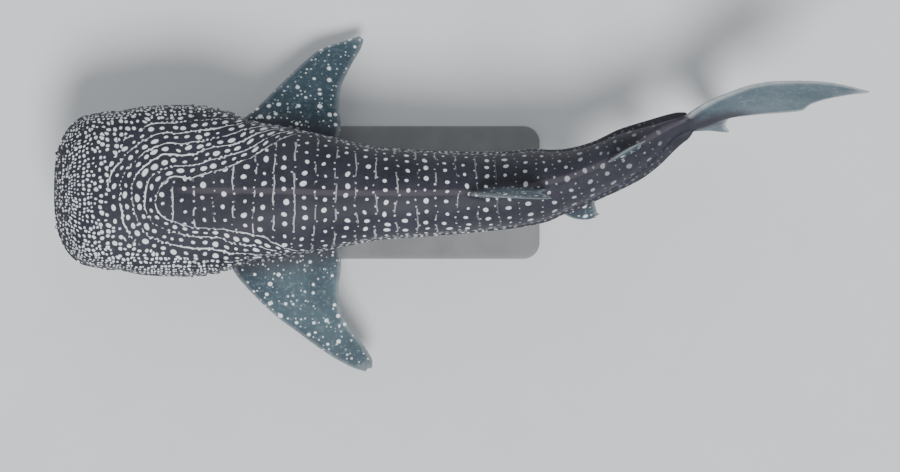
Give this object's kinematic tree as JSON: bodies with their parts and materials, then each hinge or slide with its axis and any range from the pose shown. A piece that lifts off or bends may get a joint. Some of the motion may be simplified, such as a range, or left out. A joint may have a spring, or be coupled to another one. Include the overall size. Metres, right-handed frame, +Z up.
{
  "type": "whale shark museum model",
  "caption": "Life-size whale shark in a swimming pose, broad flat spotted head, long ridged body and tail swept to its right, held on a plain two-rod stand.",
  "frame": {"origin": "on the floor under the middle of the whole model's box", "axes": "-X toward the snout, +Y toward the animal's right side, +Z up"},
  "size_m": [5.368, 2.262, 1.64],
  "materials": {
    "head": "fine rough skin, dark slate with pale spots and lines",
    "gill_region": "fine rough skin, dark slate with pale spots and lines",
    "trunk": "fine rough skin, dark slate with pale spots and lines",
    "tail_stock": "fine rough skin, dark slate with pale spots and lines",
    "caudal_fin_upper": "fine rough skin, dark slate with pale spots and lines",
    "caudal_fin_lower": "fine rough skin, dark slate with pale spots and lines",
    "pectoral_fin_left": "fine rough skin, dark slate with pale spots and lines",
    "pectoral_fin_right": "fine rough skin, dark slate with pale spots and lines",
    "pelvic_fin_left": "fine rough skin, dark slate with pale spots and lines",
    "pelvic_fin_right": "fine rough skin, dark slate with pale spots and lines",
    "first_dorsal_fin": "fine rough skin, dark slate with pale spots and lines",
    "second_dorsal_fin": "fine rough skin, dark slate with pale spots and lines",
    "anal_fin": "fine rough skin, dark slate with pale spots and lines",
    "eye_left": "wet dark eye, clear and shiny",
    "eye_right": "wet dark eye, clear and shiny",
    "stand_base": "satin grey paint",
    "stand_rod_front": "brushed along the rod",
    "stand_rod_rear": "brushed along the rod"
  },
  "bodies": {
    "root": {"head": "head", "gill_region": "gill_region", "trunk": "trunk", "tail_stock": "tail_stock", "caudal_fin_upper": "caudal_fin_upper", "caudal_fin_lower": "caudal_fin_lower", "pectoral_fin_left": "pectoral_fin_left", "pectoral_fin_right": "pectoral_fin_right", "pelvic_fin_left": "pelvic_fin_left", "pelvic_fin_right": "pelvic_fin_right", "first_dorsal_fin": "first_dorsal_fin", "second_dorsal_fin": "second_dorsal_fin", "anal_fin": "anal_fin", "eye_left": "eye_left", "eye_right": "eye_right", "stand_base": "stand_base", "stand_rod_front": "stand_rod_front", "stand_rod_rear": "stand_rod_rear"}
  },
  "joints": []
}
